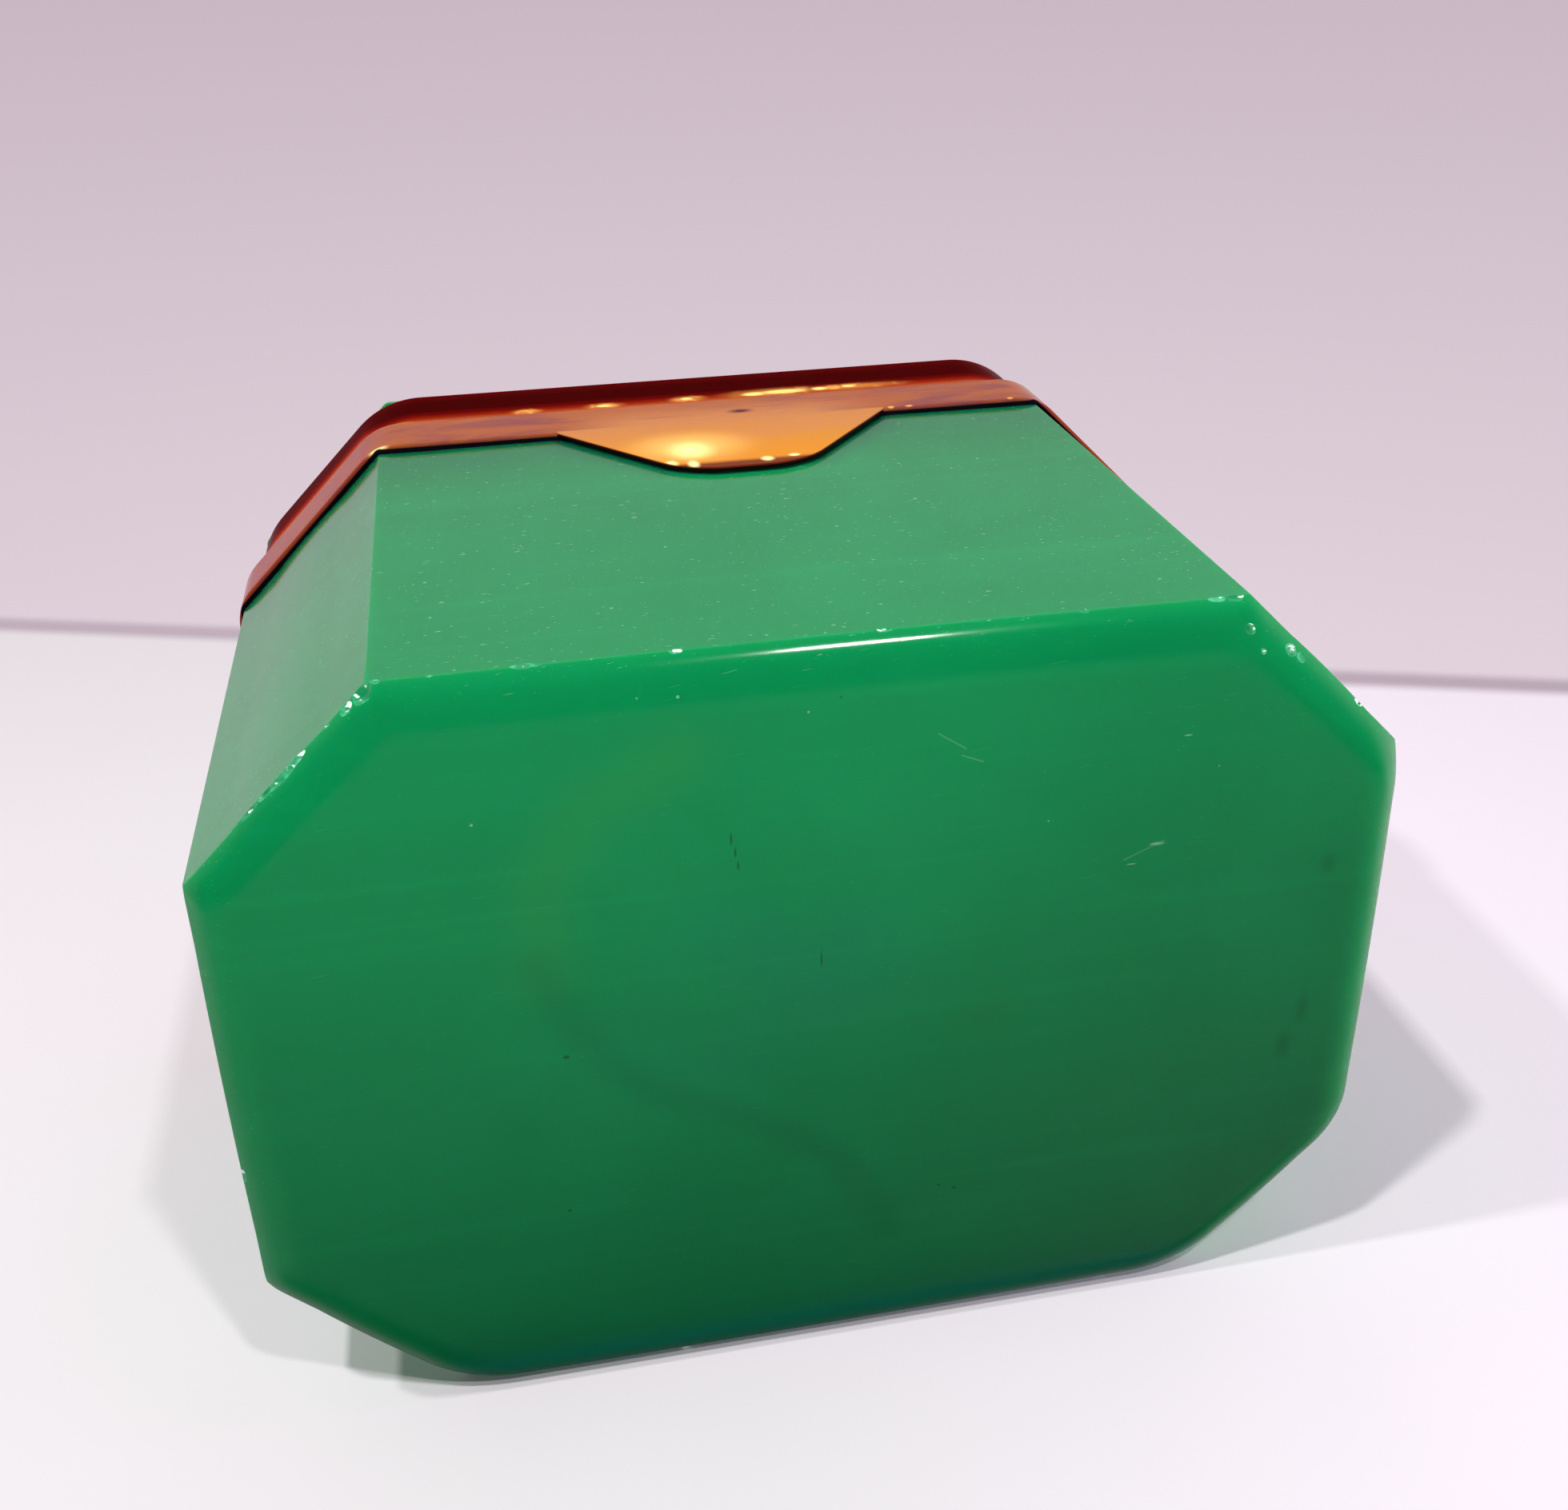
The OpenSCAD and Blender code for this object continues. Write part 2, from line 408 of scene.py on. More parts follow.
# ---------------------------------------------------------------- nodes
class Nodes:
    """Short calls that add nodes to one tree and link them."""

    def __init__(self, tree, space):
        self.tree = tree
        self.place = self.add("ShaderNodeTexCoord").outputs[space]

    def add(self, kind, **values):
        node = self.tree.nodes.new(kind)
        for key, value in values.items():
            setattr(node, key, value)
        return node

    def link(self, source, target):
        self.tree.links.new(source, target)

    def put(self, target, value):
        if isinstance(value, bpy.types.NodeSocket):
            self.link(value, target)
        else:
            target.default_value = value

    def vector(self, operation, *values):
        """A vector maths node with these inputs, each a socket or a vector."""
        node = self.add("ShaderNodeVectorMath", operation=operation)
        for socket, value in zip(node.inputs, values):
            self.put(socket, value)
        return node

    def mapped(self, vector, **values):
        """A vector turned, moved and stretched. The values are the mapping's own, with a turn in degrees."""
        node = self.add("ShaderNodeMapping")
        self.link(vector, node.inputs["Vector"])
        for key, value in values.items():
            turn = key == "Rotation"
            node.inputs[key].default_value = [math.radians(a) for a in value] if turn else value
        return node.outputs["Vector"]

    def stretched(self, scale, turn=(0, 0, 0)):
        return self.mapped(self.place, Scale=scale, Rotation=turn)

    def along(self, turn, shift, scale):
        """Space turned and moved first, and only then stretched along its new axes."""
        return self.mapped(self.mapped(self.place, Rotation=turn, Location=shift), Scale=scale)

    def noise(self, vector, scale, detail=2.0, roughness=0.5, distortion=0.0):
        node = self.add("ShaderNodeTexNoise")
        self.link(vector, node.inputs["Vector"])
        node.inputs["Scale"].default_value = scale
        node.inputs["Detail"].default_value = detail
        node.inputs["Roughness"].default_value = roughness
        node.inputs["Distortion"].default_value = distortion
        return node.outputs["Fac"]

    def cells(self, vector):
        node = self.add("ShaderNodeTexVoronoi")
        self.link(vector, node.inputs["Vector"])
        node.inputs["Scale"].default_value = 1.0
        return node.outputs["Color"], node.outputs["Distance"]

    def ramp(self, value, stops):
        node = self.add("ShaderNodeValToRGB")
        elements = node.color_ramp.elements
        elements[0].position, elements[1].position = stops[0][0], stops[-1][0]
        for place, _ in stops[1:-1]:
            elements.new(place)
        for element, (_, colour) in zip(elements, stops):
            element.color = (*colour, 1)
        self.link(value, node.inputs["Fac"])
        return node.outputs["Color"]

    def maths(self, operation, a, b=0.0, clamp=False):
        node = self.add("ShaderNodeMath", operation=operation, use_clamp=clamp)
        self.put(node.inputs[0], a)
        self.put(node.inputs[1], b)
        return node.outputs["Value"]

    def times(self, a, b):
        return self.maths("MULTIPLY", a, b)

    def strongest(self, masks):
        """The largest of several values, of one kind and in this order."""
        masks = list(masks)
        total = masks[0]
        for mask in masks[1:]:
            total = self.maths("MAXIMUM", total, mask)
        return total

    def mix(self, share, a, b):
        node = self.add("ShaderNodeMix", data_type="RGBA")
        self.put(node.inputs["Factor"], share)
        for socket, value in ((node.inputs[6], a), (node.inputs[7], b)):
            self.put(socket, (*value, 1) if isinstance(value, tuple) else value)
        return node.outputs[2]

    def tint(self, colour, mask, strength, paint):
        """The colour with this much of a paint over it where the mask is 1."""
        return self.mix(self.times(mask, strength), colour, paint)

    def part(self, axis):
        node = self.add("ShaderNodeSeparateXYZ")
        self.link(self.place, node.inputs["Vector"])
        return node.outputs[axis]

    def share(self, value, low, high, interpolation="LINEAR"):
        """0 below low, 1 above high, and an even rise between."""
        node = self.add("ShaderNodeMapRange", interpolation_type=interpolation)
        self.link(value, node.inputs["Value"])
        node.inputs["From Min"].default_value = low
        node.inputs["From Max"].default_value = high
        return node.outputs["Result"]

    def between(self, value, low, high):
        """0 below low, 1 above high, and a smooth rise between."""
        return self.share(value, low, high, "SMOOTHSTEP")

    def outside(self):
        """How far a point lies outside the jar's octagonal walls."""
        x, y = (self.maths("ABSOLUTE", self.part(axis)) for axis in "XY")
        sides = self.maths("MAXIMUM", self.maths("SUBTRACT", x, HALF_W), self.maths("SUBTRACT", y, HALF_D))
        reach = HALF_W + HALF_D - CORNER_CUT
        corners = self.times(self.maths("SUBTRACT", self.maths("ADD", x, y), reach), math.sqrt(0.5))
        return self.maths("MAXIMUM", sides, corners)

    def spot(self, centre, radii, core=0.2):
        """1 in the core of an ellipsoid given in mm, fading to 0 at its surface."""
        away = self.vector("SUBTRACT", self.place, Vector(centre) * MM).outputs["Vector"]
        share = self.vector("DIVIDE", away, Vector(radii) * MM).outputs["Vector"]
        return self.between(self.vector("LENGTH", share).outputs["Value"], 1, core)

    def spots(self, places, core=0.2):
        """The strongest of several spots."""
        return self.strongest(self.spot(*place, core) for place in places)

    def stroke(self, start, end, radius, core=0.0):
        """1 along a straight stroke between two places in mm, fading to 0 at its radius."""
        run = (Vector(end) - Vector(start)) * MM
        away = self.vector("SUBTRACT", self.place, Vector(start) * MM).outputs["Vector"]
        share = self.vector("DOT_PRODUCT", away, run / run.length_squared).outputs["Value"]
        nearest = self.vector("SCALE", run)
        self.link(self.maths("ADD", share, 0, clamp=True), nearest.inputs["Scale"])
        gap = self.vector("DISTANCE", away, nearest.outputs["Vector"]).outputs["Value"]
        return self.between(gap, radius * MM, radius * core * MM)

    def strokes(self, path, radius, core=0.0):
        """A soft line through all the places of a path."""
        return self.strongest(self.stroke(*ends, radius, core) for ends in zip(path, path[1:]))

    def dashes(self, turn, seed, scale, pick, size=0.13):
        """Short strokes, one in each of a few of the cells that a turned and squashed space falls into."""
        colour, distance = self.cells(self.along(turn, (seed, seed * 0.3, seed * 0.7), scale))
        picked = self.maths("GREATER_THAN", self.ramp(colour, [(0, (0, 0, 0)), (1, (1, 1, 1))]), pick)
        return self.times(self.between(distance, size, size / 2), picked)

    def scratches(self, turn, seed, least):
        """Short, thin, scattered scratches that run one way. A higher least leaves fewer."""
        streaks = self.noise(self.along(turn, (seed, seed * 1.7, seed * 0.6), (220, 9000, 9000)), 1.0, 1.0)
        return self.between(streaks, least, least + 0.05)

    def bump(self, height, strength, distance, normal=None):
        node = self.add("ShaderNodeBump")
        node.inputs["Strength"].default_value = strength
        node.inputs["Distance"].default_value = distance
        self.link(height, node.inputs["Height"])
        if normal is not None:
            self.link(normal, node.inputs["Normal"])
        return node.outputs["Normal"]


class Paint(Nodes):
    """The nodes of one new material."""

    def __init__(self, name):
        self.material = bpy.data.materials.new(name)
        self.material.use_nodes = True
        super().__init__(self.material.node_tree, "Object")
        self.shader = self.tree.nodes["Principled BSDF"]

    def feed(self, **sources):
        """Links sources to the shader's inputs, with _ for each space in an input's name."""
        for name, source in sources.items():
            self.link(source, self.shader.inputs[name.replace("_", " ")])

    def even(self, values):
        """Sets the shader's inputs that are the same all over."""
        for name, value in values.items():
            self.shader.inputs[name].default_value = value


# ---------------------------------------------------------------- jade
DEEP, LIGHT = (0.002, 0.232, 0.070), (0.003, 0.255, 0.080)
SCRATCHED = (0.50, 0.72, 0.58)
FRONT = -36.5  # where the jar's front wall is, in mm

# Marks on the jar's underside, as centre and radii in mm
PALE_MARKS = [
    ((30.1, -25.1, 0), (0.5, 0.10, 1)), ((26.0, -13.1, 0), (0.6, 0.08, 1)), ((28.2, -14.85, 0), (0.9, 0.22, 1)),
    ((18.3, -18.4, 0), (0.12, 0.12, 1)), ((-2.0, -31.0, 0), (0.14, 0.14, 1))]
DARK_MARKS = [
    ((-8.5, -20.3, 0), (0.14, 0.8, 1)), ((-8.2, -19.0, 0), (0.14, 0.7, 1)), ((-8.0, -17.7, 0), (0.14, 0.6, 1)),
    ((-1.2, -7.5, 0), (0.12, 1.2, 1)), ((-23.2, -0.9, 0), (0.42, 0.28, 1)), ((-24.2, 15.9, 0), (0.22, 0.26, 1)),
    ((9.6, 19.6, 0), (0.22, 0.16, 1)), ((11.1, 20.2, 0), (0.32, 0.18, 1)), ((0.6, -32.0, 1), (0.25, 0.25, 2))]
SMUDGES = [
    ((44.5, -10.6, 0), (1.2, 1.6, 1)), ((44.0, 5.0, 0), (1.0, 2.6, 1)), ((42.6, 9.0, 0), (1.1, 2.2, 1))]
# Lines on the underside, as the places in mm that they pass through
SCRATCHES = (
    [(25.3, -13.6, 0), (28.8, -15.1, 0)], [(8.6, -27.8, 0), (10.9, -26.2, 0)],
    [(10.6, -25.6, 0), (12.4, -24.8, 0)])
# A darker arc across the underside, from the warm line's end
DARK_ARC_LINE = [
    (-24.8, -10.0, 0), (-22.9, -5.4, 0), (-19.5, 0.9, 0), (-14.2, 5.3, 0), (-6.3, 9.5, 0), (-2.2, 12.2, 0),
    (2.0, 17.3, 0), (4.6, 23.3, 0)]
# A painted reflection on the underside: a warm line that runs into the darker arc's start
WARM_REFLECTION_LINE = [(-12.6, -28.2, 0), (-20.0, -24.2, 0), (-24.0, -18.1, 0), (-24.6, -10.0, 0)]


def jade_marks(n):
    """Scattered fine scratches and short dashes, more of them in some places than others, and dust specks."""
    marks = n.strongest([n.scratches((0, 0, 8), 0.11, 0.745), n.scratches((0, 20, -52), 0.37, 0.755)])
    worn = n.between(n.noise(n.place, 45, 2), 0.44, 0.60)
    for turn, seed, length, pick in (((0, 5, 6), 0.7, 210, 0.72), ((0, -11, -14), 3.1, 520, 0.76)):
        dashes = n.dashes(turn, seed, (length, 2600, 2600), pick)
        marks = n.maths("MAXIMUM", marks, n.times(dashes, worn))
    above_base = n.maths("ADD", n.times(n.part("Z"), 400), 0.12, clamp=True)
    return n.times(marks, above_base), n.dashes((0, 0, 0), 0, (330, 330, 330), 0.84, 0.06)


def jar_tints(n, colour):
    """Painted shade under the rim and round the tab, painted reflections on the underside, painted shade that
    makes the back of the underside bluer, and marks on it.
    """
    # Painted shade: the wall darkens towards the rim, with a darker painted shadow just under it
    wall = n.between(n.outside(), -1.2 * MM, -0.6 * MM)
    shade_under_rim = n.times(n.between(n.part("Z"), SHOULDER_Z - 15 * MM, SHOULDER_Z), wall)
    colour = n.tint(colour, shade_under_rim, 0.42, (0.001, 0.10, 0.045))
    contact_shadow = n.times(n.between(n.part("Z"), SHOULDER_Z - 1.7 * MM, SHOULDER_Z - 0.3 * MM), wall)
    colour = n.tint(colour, contact_shadow, 0.45, (0.002, 0.03, 0.028))

    # A painted shadow of the tab on the wall beside its sloping sides, and a painted shadow and reflection of
    # its edge round its outline
    low, high, middle, half = tab_low.z / MM, rim_low.z / MM, TAB_MID / MM, TAB_HALF / MM
    tab_edge = [(middle + x, FRONT, z) for x, z in (
        (-half, high), (-7.4, low + 2.6), (-3.5, low + 0.5), (3.5, low + 0.5), (7.4, low + 2.6), (half, high))]
    tab_flank_shadow = n.strongest([n.stroke(*tab_edge[:2], 4.2), n.stroke(*tab_edge[-2:], 4.2)])
    colour = n.tint(colour, tab_flank_shadow, 0.40, (0.002, 0.06, 0.045))
    colour = n.tint(colour, n.strokes(tab_edge, 1.5, 0.1), 0.50, (0.001, 0.02, 0.022))

    # A painted reflection: a bluer, mottled patch on the underside
    bluish_reflection = n.times(n.spot((-7, -5, 0), (19, 15, 2), 0.3), n.between(n.noise(n.place, 60, 2), 0.35, 0.65))
    colour = n.tint(colour, bluish_reflection, 0.35, (0.006, 0.20, 0.105))
    # A painted reflection: a warm line on the underside
    colour = n.tint(colour, n.strokes(WARM_REFLECTION_LINE, 5.0), 0.30, (0.022, 0.26, 0.045))
    colour = n.tint(colour, n.spot((13.5, 0.7, 0), (5, 4, 2), 0.0), 0.25, (0.012, 0.20, 0.045))
    # A darker arc across the underside
    colour = n.tint(colour, n.strokes(DARK_ARC_LINE, 2.8), 0.20, (0.003, 0.12, 0.045))
    # Painted shade: the underside darker and bluer towards its back edge, and a paler painted reflection on the
    # cushion's slope there
    back = n.times(n.between(n.part("Y"), 26 * MM, 36 * MM), n.between(n.part("Z"), 0.3 * MM, 0))
    colour = n.tint(colour, back, 0.45, (0.001, 0.12, 0.075))
    back_slope_reflection = n.times(n.between(n.part("Z"), CUSHION_H + 0.5 * MM, CUSHION_H),
                         n.between(n.part("Y"), 31 * MM, 34 * MM))
    colour = n.tint(colour, back_slope_reflection, 0.6, (0.012, 0.24, 0.17))
    colour = n.tint(colour, n.spots(SMUDGES, 0.0), 0.35, (0.001, 0.09, 0.03))
    return n.tint(colour, n.spots(DARK_MARKS, 0.3), 0.65, (0.004, 0.04, 0.016))


def jade_material(name, jar=False):
    """Translucent jade-green resin: faint flow marks, fine scratches and dust. The jar has marks, painted shade
    and painted reflections of its own.
    """
    n = Paint(name)
    cloud = n.noise(n.place, 38, 3, 0.55, 0.6)
    flow = n.noise(n.stretched((9, 14, 26), (20, 35, 10)), 1.0, 2, 0.5, 1.4)
    colour = n.mix(n.between(cloud, 0.35, 0.75), DEEP, LIGHT)
    colour = n.tint(colour, n.between(flow, 0.5, 0.62), 0.12, tuple(0.7 * c for c in DEEP))
    streaks = n.noise(n.stretched((12, 420, 420)), 1.0, 2)
    colour = n.tint(colour, n.between(streaks, 0.5, 0.75), 0.10, tuple(1.5 * c for c in LIGHT))
    marks, specks = jade_marks(n)
    pale = [n.times(marks, 0.5), n.times(specks, 0.35)]
    if jar:
        colour = jar_tints(n, colour)
        pale.append(n.times(n.spots(PALE_MARKS, 0.3), 0.35))
        pale += [n.times(n.strokes(path, 0.12), 0.11) for path in SCRATCHES]
    pale = n.strongest(pale)
    haze = n.noise(n.place, 90, 3, 0.6)
    rough = n.maths("ADD", n.times(haze, 0.08), 0.06)
    wave = n.bump(n.noise(n.place, 45, 2), 0.15, 0.03 * MM)
    n.feed(Base_Color=n.mix(pale, colour, SCRATCHED),
           Roughness=n.maths("ADD", rough, n.times(pale, 0.4), clamp=True),
           Normal=n.bump(marks, 0.25, 0.02 * MM, wave))
    n.even({"IOR": 1.5, "Subsurface Weight": 0.85, "Subsurface Radius": (0.12, 1.0, 0.45),
            "Subsurface Scale": 3 * MM})
    return n.material


def chip_material():
    """Freshly broken jade resin: glassy and rippled, with painted white glints."""
    n = Paint("jade_chip")
    ripples_and_glints = n.noise(n.stretched((900, 1500, 1500)), 1.0, 2)
    colour = n.mix(n.between(n.noise(n.place, 900, 2), 0.4, 0.7), (0.006, 0.25, 0.085), (0.06, 0.46, 0.22))
    # Painted white glints where the ripples peak
    n.feed(Base_Color=n.mix(n.between(ripples_and_glints, 0.585, 0.64), colour, (0.85, 1.0, 0.92)),
           Roughness=n.maths("ADD", n.times(ripples_and_glints, 0.2), 0.02),
           Normal=n.bump(n.noise(n.place, 1500, 1), 0.5, 0.05 * MM))
    n.even({"Specular IOR Level": 1.0})
    return n.material


# ---------------------------------------------------------------- amber
# Colours of painted glints on the amber
GOLD, PALE_GOLD, WHITE_GOLD = (0.95, 0.42, 0.09), (1.0, 0.90, 0.30), (1.0, 0.86, 0.24)
# A painted glow, where light comes through the amber by the tab
TAB_GLOW = (0.52, 0.19, 0.055)  # the rim's colour next to the tab, and the tab's at the rim
SHADOWED = (0.006, 0.003, 0.008)


def amber_material(name, colour_of, gloss, rough, inner=0.0):
    """Polished amber resin with fine scratches. colour_of(nodes) gives its colour.

    gloss is its specular level, and inner is how much it gleams red in its depth."""
    n = Paint(name)
    marks = n.scratches((0, 0, 0), 0.2, 0.72)
    haze = n.noise(n.place, 120, 3, 0.6)
    base = n.maths("ADD", n.times(haze, 0.10), rough)
    wave = n.bump(n.noise(n.place, 70, 2), 0.3, 0.05 * MM)
    n.feed(Base_Color=colour_of(n),
           Roughness=n.maths("ADD", base, n.times(marks, 0.25), clamp=True),
           Normal=n.bump(marks, 0.2, 0.02 * MM, wave))
    n.even({"IOR": 1.54, "Specular IOR Level": gloss, "Metallic": inner,
            "Specular Tint": (1, 0.03, 0.02, 1) if inner else (1, 1, 1, 1),
            "Subsurface Weight": 0.3, "Subsurface Radius": (1.0, 0.25, 0.05), "Subsurface Scale": 1.5 * MM})
    return n.material


def rim_colour(n):
    """Copper with mauve clouds, painted lighter behind the tab, painted darker on every face but the front and
    near black where its underside overhangs the jar, with painted glints on its lower edge.
    """
    x, z = n.part("X"), n.part("Z")
    cloud = n.noise(n.stretched((70, 260, 260)), 1.0, 4, 0.6, 0.8)
    colour = n.mix(n.between(cloud, 0.42, 0.66), (0.36, 0.090, 0.024), (0.235, 0.056, 0.048))
    # Painted shade: every face but the front is darker red
    front = n.between(n.part("Y"), rim_low.y + 1.6 * MM, rim_low.y + 0.4 * MM)
    colour = n.mix(front, n.mix(0.7, colour, (0.27, 0.035, 0.020)), colour)
    # A painted glow: the front's lower part lighter orange next to the tab
    near_tab = n.between(n.maths("ABSOLUTE", n.maths("SUBTRACT", x, TAB_MID)), 19 * MM, 8 * MM)
    low_part = n.between(z, rim_high.z, rim_low.z)
    colour = n.mix(n.times(n.times(near_tab, low_part), front), colour, TAB_GLOW)
    smudge = n.spot((2.9, -37.3, 59.5), (1.9, 1, 1.0), 0.1)
    colour = n.mix(smudge, colour, (0.06, 0.004, 0.022))
    smears = n.spots([((-5.5, -37.3, 59.2), (4.5, 1, 0.35)), ((6.5, -37.3, 60.6), (3.5, 1, 0.3)),
                      ((-22.0, -37.3, 61.0), (5.0, 1, 0.5)), ((13.5, -37.3, 61.0), (4.0, 1, 0.3))])
    colour = n.tint(colour, smears, 0.35, (0.22, 0.03, 0.05))
    # Painted glints: gold spots along the lower edge, and a pale gold one near its left end
    edge = rim_low.z / MM + 0.3
    glint_beads = n.spots([((19.0, -37.2, edge), (0.5, 1, 0.3)), ((21.0, -37.2, edge), (0.6, 1, 0.25)),
                     ((32.4, -37.2, edge), (0.5, 1, 0.25))])
    colour = n.mix(glint_beads, colour, GOLD)
    colour = n.mix(n.spot((-35.4, -37.0, edge), (1.5, 1.3, 0.7)), colour, PALE_GOLD)
    # Painted shade: the underside near black where it overhangs the jar
    under = n.times(n.between(z, rim_low.z + 0.45 * MM, rim_low.z + 0.3 * MM),
                    n.between(n.outside(), 0.50 * MM, 0.38 * MM))
    return n.mix(under, colour, SHADOWED)


def crown_colour(n):
    """Near-black red with a painted orange glow along its foot, and bead-like painted gold glints near the tab.
    """
    front = n.between(n.part("Y"), crown_low.y + 2.5 * MM, crown_low.y + 0.5 * MM)
    lift = n.times(n.maths("SUBTRACT", 1.0, front), 2.2 * MM)
    height = n.share(n.maths("SUBTRACT", n.part("Z"), lift), crown_low.z, crown_high.z)
    uneven = n.times(n.maths("SUBTRACT", n.noise(n.stretched((90, 90, 300)), 1.0, 3), 0.5), 0.05)
    # A painted glow: orange at the foot, fading to near-black red higher up
    colour = n.ramp(n.maths("ADD", height, uneven), [
        (0.0, (0.40, 0.070, 0.018)), (0.18, (0.50, 0.125, 0.030)), (0.22, (0.42, 0.075, 0.018)),
        (0.29, (0.26, 0.016, 0.004)), (0.38, (0.12, 0.002, 0.001)), (0.50, (0.036, 0.0004, 0.0004)),
        (0.74, (0.030, 0.0004, 0.0004)), (0.93, (0.065, 0.001, 0.001)), (1.0, (0.075, 0.002, 0.002))])
    # Painted glints: a row of bead-like gold spots along the foot near the tab, with white-gold spots in it
    foot = 0.19 * (crown_high.z - crown_low.z) / MM + crown_low.z / MM + 0.5
    line = n.spots([((8.5, -36.4, foot + 1.2), (8.0, 1, 1.9)), ((17.0, -36.4, foot + 1.2), (8.5, 1, 1.5)),
                    ((-1.5, -36.4, foot + 0.9), (2.8, 1, 1.5)), ((-19.5, -36.4, foot + 0.5), (2.2, 1, 1.4)),
                    ((-11.0, -36.4, foot + 0.6), (2.8, 1, 1.4))], 0.1)
    _, distance = n.cells(n.stretched((430, 430, 330)))
    ring = n.between(n.maths("ABSOLUTE", n.maths("SUBTRACT", distance, 0.36)), 0.16, 0.02)
    glint_beads = n.maths("MULTIPLY", n.maths("ADD", n.times(ring, 0.6), 0.55), line, clamp=True)
    colour = n.mix(glint_beads, colour, GOLD)
    white_glints = n.spots([((9.4, -36.4, foot + 1.1), (3.4, 1, 1.0)), ((6.0, -36.4, foot + 0.9), (1.8, 1, 0.9)),
                      ((13.6, -36.4, foot + 1.2), (1.2, 1, 0.8)), ((17.0, -36.4, foot + 1.4), (1.0, 1, 0.6)),
                      ((-1.7, -36.4, foot + 1.0), (0.9, 1, 0.7)), ((-11.0, -36.4, foot + 0.6), (1.1, 1, 0.6))],
                     0.4)
    colour = n.mix(white_glints, colour, WHITE_GOLD)
    # A painted glow at the front left corner
    corner = n.spots([((-34.0, -36.0, foot - 0.6), (3.0, 2.0, 1.7)),
                      ((-38.0, -33.0, foot + 0.9), (3.0, 3.0, 1.1))])
    return n.tint(colour, corner, 0.8, (0.85, 0.34, 0.07))


def tab_colour(n):
    """Bright orange with a painted glow near the tip, and painted shade on its edge, dark red and then near
    black.
    """
    z, depth = n.part("Z"), n.part("Y")
    # A painted glow: fuller orange low on the tab, duller up at the rim
    colour = n.ramp(n.share(z, tab_low.z, tab_high.z), [
        (0.0, (0.58, 0.17, 0.012)), (0.14, (0.66, 0.235, 0.012)), (0.45, (0.61, 0.225, 0.020)),
        (0.75, (0.55, 0.210, 0.038)), (1.0, TAB_GLOW)])
    cloud = n.noise(n.stretched((90, 200, 200)), 1.0, 4, 0.6, 0.8)
    colour = n.tint(colour, n.between(cloud, 0.45, 0.7), 0.25, (0.55, 0.20, 0.10))
    # A painted glow near the tip, with a pale yellow core
    colour = n.mix(n.spot((-4.2, -37.3, 48.6), (8.5, 3, 6.5), 0.0), colour, (0.95, 0.50, 0.12))
    colour = n.mix(n.spot((-4.2, -37.3, 47.4), (3.2, 3, 3.9), 0.0), colour, (1.0, 0.96, 0.34))
    # Painted shade: dark red just inside the tip's edge
    tip = n.between(z, tab_low.z + 2.1 * MM, tab_low.z + 0.9 * MM)
    colour = n.tint(colour, tip, 0.92, (0.13, 0.014, 0.004))
    foot = tab_low.z / MM
    # Painted glints near the tip
    tip_glints = n.spots([((-6.6, -37.3, foot + 2.0), (0.9, 1, 1.3)), ((-4.5, -37.3, foot + 1.4), (0.8, 1, 1.6)),
                      ((2.9, -37.3, foot + 1.4), (0.9, 1, 1.0)), ((5.7, -37.3, foot + 1.9), (0.8, 1, 0.6))])
    colour = n.mix(tip_glints, colour, (1.0, 0.92, 0.38))
    # Painted shade: dark red on the front's rounded edge, and near black on the sides and back
    rounding = n.between(depth, tab_low.y + 0.03 * MM, tab_low.y + 0.13 * MM)
    colour = n.mix(rounding, colour, (0.20, 0.022, 0.006))
    side = n.between(depth, tab_low.y + 0.12 * MM, tab_low.y + 0.22 * MM)
    return n.mix(side, colour, (0.006, 0.003, 0.004))


# ---------------------------------------------------------------- stage
TABLE_WHITE = (0.86, 0.83, 0.855)
# Where the tabletop ends at x = 0, and how much nearer it ends for each metre of x
FAR_EDGE, FAR_SLANT = 0.1625, 0.351


def stage_material(name, fades=False):
    """A pale surface seen from its front only. It glows a little, and may fade out past its far edge."""
    n = Paint(name)
    paint = n.mix(n.noise(n.place, 30, 4, 0.6), tuple(0.97 * c for c in TABLE_WHITE), TABLE_WHITE)
    # Painted light: the surface glows more towards the right
    glow = n.mix(n.between(n.part("X"), -0.06, 0.09), (0.03, 0.015, 0.02), (0.20, 0.14, 0.21))
    hidden = n.add("ShaderNodeNewGeometry").outputs["Backfacing"]
    if fades:
        past = n.maths("ADD", n.part("Z"), n.times(n.part("X"), FAR_SLANT))
        shade = n.between(past, FAR_EDGE - 2 * MM, FAR_EDGE + 3 * MM)
        paint = n.mix(shade, paint, (0.52, 0.43, 0.48))
        glow = n.mix(shade, glow, (0.06, 0.045, 0.06))
        hidden = n.maths("MAXIMUM", hidden, n.between(past, FAR_EDGE + 4 * MM, FAR_EDGE + 9 * MM))
    n.feed(Base_Color=paint, Emission_Color=glow)
    n.even({"Emission Strength": 1.0, "Roughness": 0.6, "Specular IOR Level": 0.2})
    clear, either = n.add("ShaderNodeBsdfTransparent"), n.add("ShaderNodeMixShader")
    for socket, source in zip(either.inputs, (hidden, n.shader.outputs[0], clear.outputs[0])):
        n.link(source, socket)
    n.link(either.outputs[0], n.tree.nodes["Material Output"].inputs["Surface"])
    return n.material


def stage_plane(name, corners, material):
    """A surface that only the camera sees, so that it neither lights nor shades the object."""
    mesh = bpy.data.meshes.new(name)
    mesh.from_pydata(corners, [], [(0, 1, 2, 3)])
    plane = bpy.data.objects.new(name, mesh)
    bpy.context.scene.collection.objects.link(plane)
    mesh.materials.append(material)
    for rays in ("diffuse", "glossy", "transmission", "volume_scatter", "shadow"):
        setattr(plane, f"visible_{rays}", False)
    return plane


